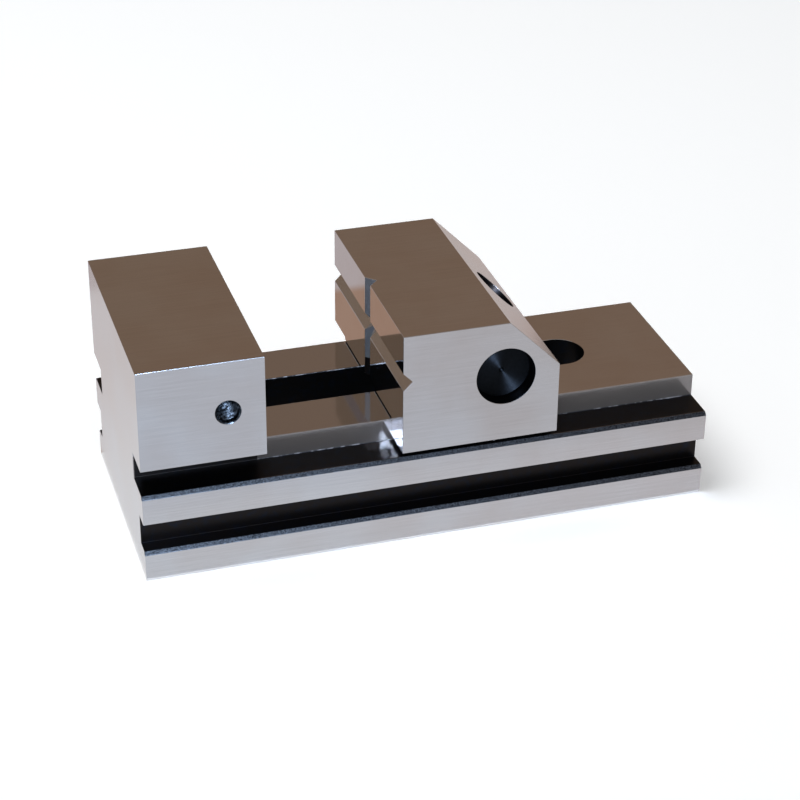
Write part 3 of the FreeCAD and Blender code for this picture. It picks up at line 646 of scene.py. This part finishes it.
# White paper: matt, with a glow that lifts its shadow for the eye and in reflections.
floor_material, tree = new_material("white_paper")
paper = add(tree, "ShaderNodeBsdfDiffuse", {"Color": linear("#F4F4F4")})
rays = add(tree, "ShaderNodeLightPath").node.outputs
seen = add(tree, "ShaderNodeMath", {0: rays["Is Camera Ray"], 1: rays["Is Glossy Ray"]},
           operation="MAXIMUM")
seen = add(tree, "ShaderNodeMath", {0: seen, 1: rays["Is Transmission Ray"]},
           operation="MAXIMUM")
lift = add(tree, "ShaderNodeMath", {0: seen, 1: FLOOR_GLOW}, operation="MULTIPLY")
glow = add(tree, "ShaderNodeEmission", {"Color": linear("#FFFFFF"), "Strength": lift})
both = add(tree, "ShaderNodeAddShader", {0: paper, 1: glow})
add(tree, "ShaderNodeOutputMaterial", {"Surface": both})
floor = flat_card("floor", (-FLOOR_HALF, -FLOOR_HALF), (FLOOR_HALF, FLOOR_HALF), -FLOOR_DROP)
floor.data.materials.append(floor_material)

world = bpy.data.worlds.new("studio")
bpy.context.scene.world = world
world.use_nodes = True
tree = world.node_tree
tree.nodes.clear()
white = add(tree, "ShaderNodeBackground", {"Color": linear("#FFFFFF"), "Strength": 1.0})
dim = add(tree, "ShaderNodeBackground", {"Color": linear("#E8ECF0"), "Strength": SKY_LIGHT})
to_camera = add(tree, "ShaderNodeLightPath", out="Is Camera Ray")
sky = add(tree, "ShaderNodeMixShader", {0: to_camera, 1: dim, 2: white})
add(tree, "ShaderNodeOutputWorld", {"Surface": sky})
print("floor and sky are white")

# %% [markdown]
# ## Brown wall
# Bare metal shows what stands round it. A level face, seen from the camera, mirrors what
# is behind the vise, and a brown wall gives it a warm, dark tone. The wall runs all
# round, so that every view has one, and only reflections see it. An image wrapped round
# the scene would do too, but a wall with two colours is easier to tune.

# %% Brown wall
WALL_RADIUS, WALL_FOOT, WALL_TOP = 1500, 160, 2600
WALL_SIDES = 64


def fading_glow(name, axis, near, far, near_colour, far_colour):
    """A glow that fades between two places in millimetres along X (0) or Y (1)."""
    material, tree = new_material(name)
    place = add(tree, "ShaderNodeTexCoord", out="Object")
    along = add(tree, "ShaderNodeSeparateXYZ", {0: place}, axis)
    share = add(tree, "ShaderNodeMapRange", {0: along, 1: near * MM, 2: far * MM},
                interpolation_type="SMOOTHSTEP")
    tint = add(tree, "ShaderNodeMix", {
        0: share, 6: linear(near_colour), 7: linear(far_colour)}, 2, data_type="RGBA")
    glow = add(tree, "ShaderNodeEmission", {"Color": tint, "Strength": 1.0})
    add(tree, "ShaderNodeOutputMaterial", {"Surface": glow})
    return material


def only_reflected(card):
    """The card shows in reflections, and nowhere else."""
    card.visible_camera = False
    card.visible_diffuse = False
    card.visible_transmission = False
    card.visible_volume_scatter = False
    card.visible_shadow = False


def ring_wall(name):
    """A round wall about the vise."""
    points, faces = [], []
    for step in range(WALL_SIDES):
        angle = 2 * math.pi * step / WALL_SIDES
        for height in (WALL_FOOT, WALL_TOP):
            points.append((WALL_RADIUS * MM * math.cos(angle),
                           WALL_RADIUS * MM * math.sin(angle), height * MM))
        following = (step + 1) % WALL_SIDES
        faces.append((2 * step, 2 * following, 2 * following + 1, 2 * step + 1))
    mesh = bpy.data.meshes.new(name)
    mesh.from_pydata(points, [], faces)
    wall = bpy.data.objects.new(name, mesh)
    bpy.context.scene.collection.objects.link(wall)
    return wall


wall = ring_wall("brown_wall")
wall.data.materials.append(
    fading_glow("brown_wall", 0, -WALL_RADIUS, WALL_RADIUS, "#816E5D", "#867061"))
only_reflected(wall)
print("the wall stands", WALL_RADIUS, "mm from the vise")

# %% [markdown]
# ## Tinted floor in reflections
# Upright faces mirror the floor beside them. Cool grey in front, tan close behind and
# pinkish grey farther off give each face its tone. Tinting the floor itself would show
# in the picture, so thin cards lie just above it, which only reflections see.

# %% Cards
CARD_HEIGHT = 0.2
# Name, low and high corner, then the fade: axis, from, to and two colours.
CARDS = (
    ("front_card", (-900, -900), (900, -75), (0, -90, 110, "#CFD6E4", "#C8C6CA")),
    ("near_card", (-900, -75), (900, -37.2), (0, -90, 110, "#DCE1EB", "#D5D2D7")),
    ("left_card", (-900, -37.2), (-86.6, 150), (1, 0, 110, "#E8E8EC", "#DAD3D4")),
    ("back_card", (-86.6, 37.2), (900, 150), (1, 122, 129, "#AC8E7D", "#C2B7B8")),
    ("far_card", (-900, 150), (900, 1400), (0, -40, 160, "#C2B7B8", "#CDC0BC")),
)
for name, low, high, fade in CARDS:
    card = flat_card(name, low, high, CARD_HEIGHT)
    card.data.materials.append(fading_glow(name, *fade))
    only_reflected(card)
print(len(CARDS), "cards lie", CARD_HEIGHT, "mm over the base plane")

# %% [markdown]
# ## Lamps
# A large soft lamp hangs over the left shoulder and lights the floor evenly. It stays
# out of reflections, because it would show in the level faces as a white glare from
# above. A small bluish one stands at the camera, as a flash does. Corners and round
# holes throw its light straight back, which gives the sparks in the holes and beside the
# rail. Its light reaches the metal only, so the floor stays even.

# %% Place the lamps
def soft_lamp(name, place, aim, size, power, colour):
    """A round area lamp, with place and size in millimetres and power in watts."""
    lamp = bpy.data.objects.new(name, bpy.data.lights.new(name, "AREA"))
    lamp.data.shape = "DISK"
    lamp.data.size = size * MM
    lamp.data.energy = power
    lamp.data.color = linear(colour)[:3]
    lamp.location = Vector(place) * MM
    lamp.rotation_mode = "QUATERNION"
    towards = Vector(aim) * MM - lamp.location
    lamp.rotation_quaternion = towards.to_track_quat("-Z", "Y")
    bpy.context.scene.collection.objects.link(lamp)
    return lamp


overhead = soft_lamp("overhead", (-560, 60, 1420), (0, 0, 0), size=900, power=13.0,
                     colour="#FFFFFF")
overhead.visible_glossy = False
flash = soft_lamp("flash", (-170, -556, 376), (0, 0, 40), size=60, power=12.0,
                  colour="#CDE0FC")
flash.visible_diffuse = False
print("lamps:", [lamp.name for lamp in bpy.data.lights])

bpy.context.view_layer.update()
